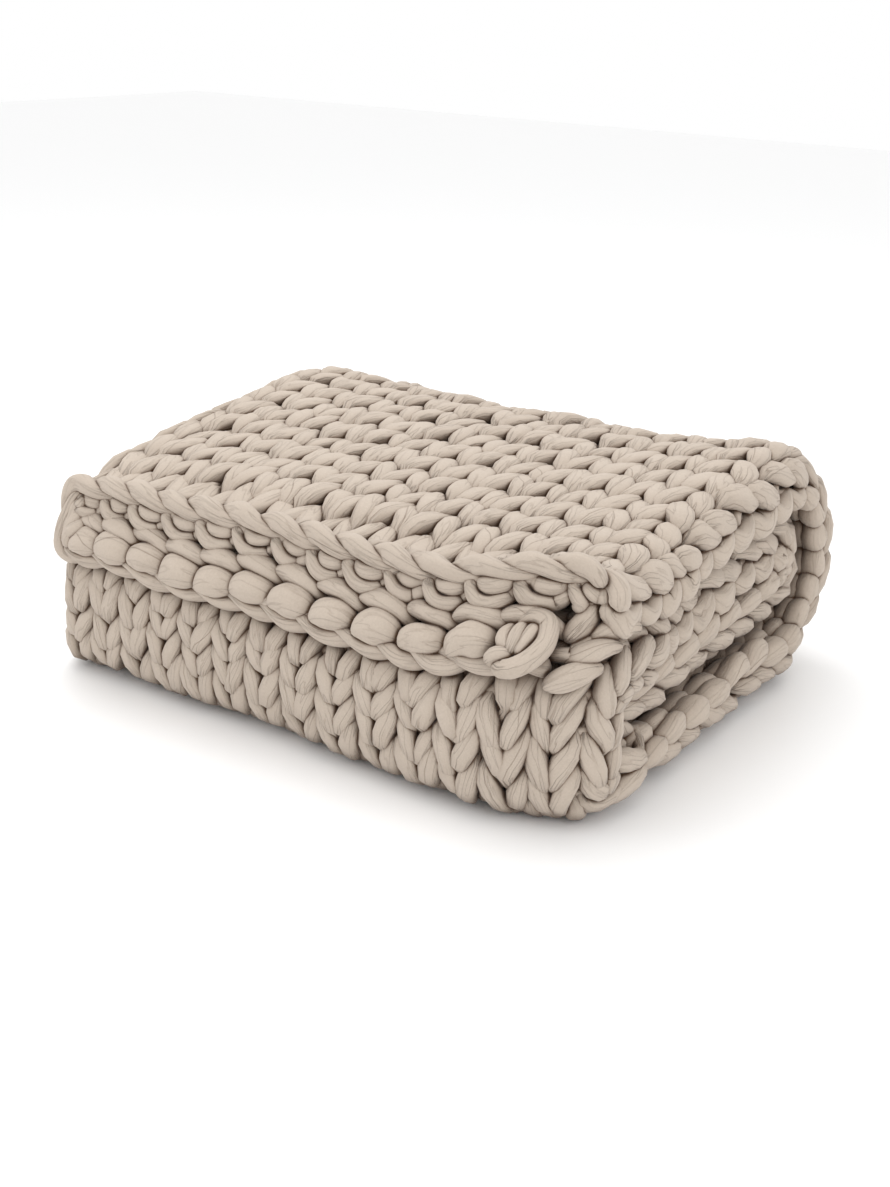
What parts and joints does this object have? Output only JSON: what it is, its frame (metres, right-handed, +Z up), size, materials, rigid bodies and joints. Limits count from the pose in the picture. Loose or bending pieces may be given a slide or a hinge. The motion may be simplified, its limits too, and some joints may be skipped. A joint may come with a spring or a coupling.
{
  "type": "folded chunky knit weighted blanket",
  "caption": "Chunky hand-knit weighted blanket of thick stuffed yarn, doubled across its width and rolled up lengthwise into a folded stack.",
  "frame": {"origin": "middle of the footprint, on the surface the blanket rests on", "axes": "+X along the long side, towards the two side edges of the knitting; +Y from the free front edge to the rear turn; +Z up"},
  "size_m": [0.6358, 0.5582, 0.2648],
  "materials": {
    "yarn": "matte jersey tube yarn"
  },
  "bodies": {
    "root": {"knitted_blanket": "yarn"}
  },
  "joints": []
}
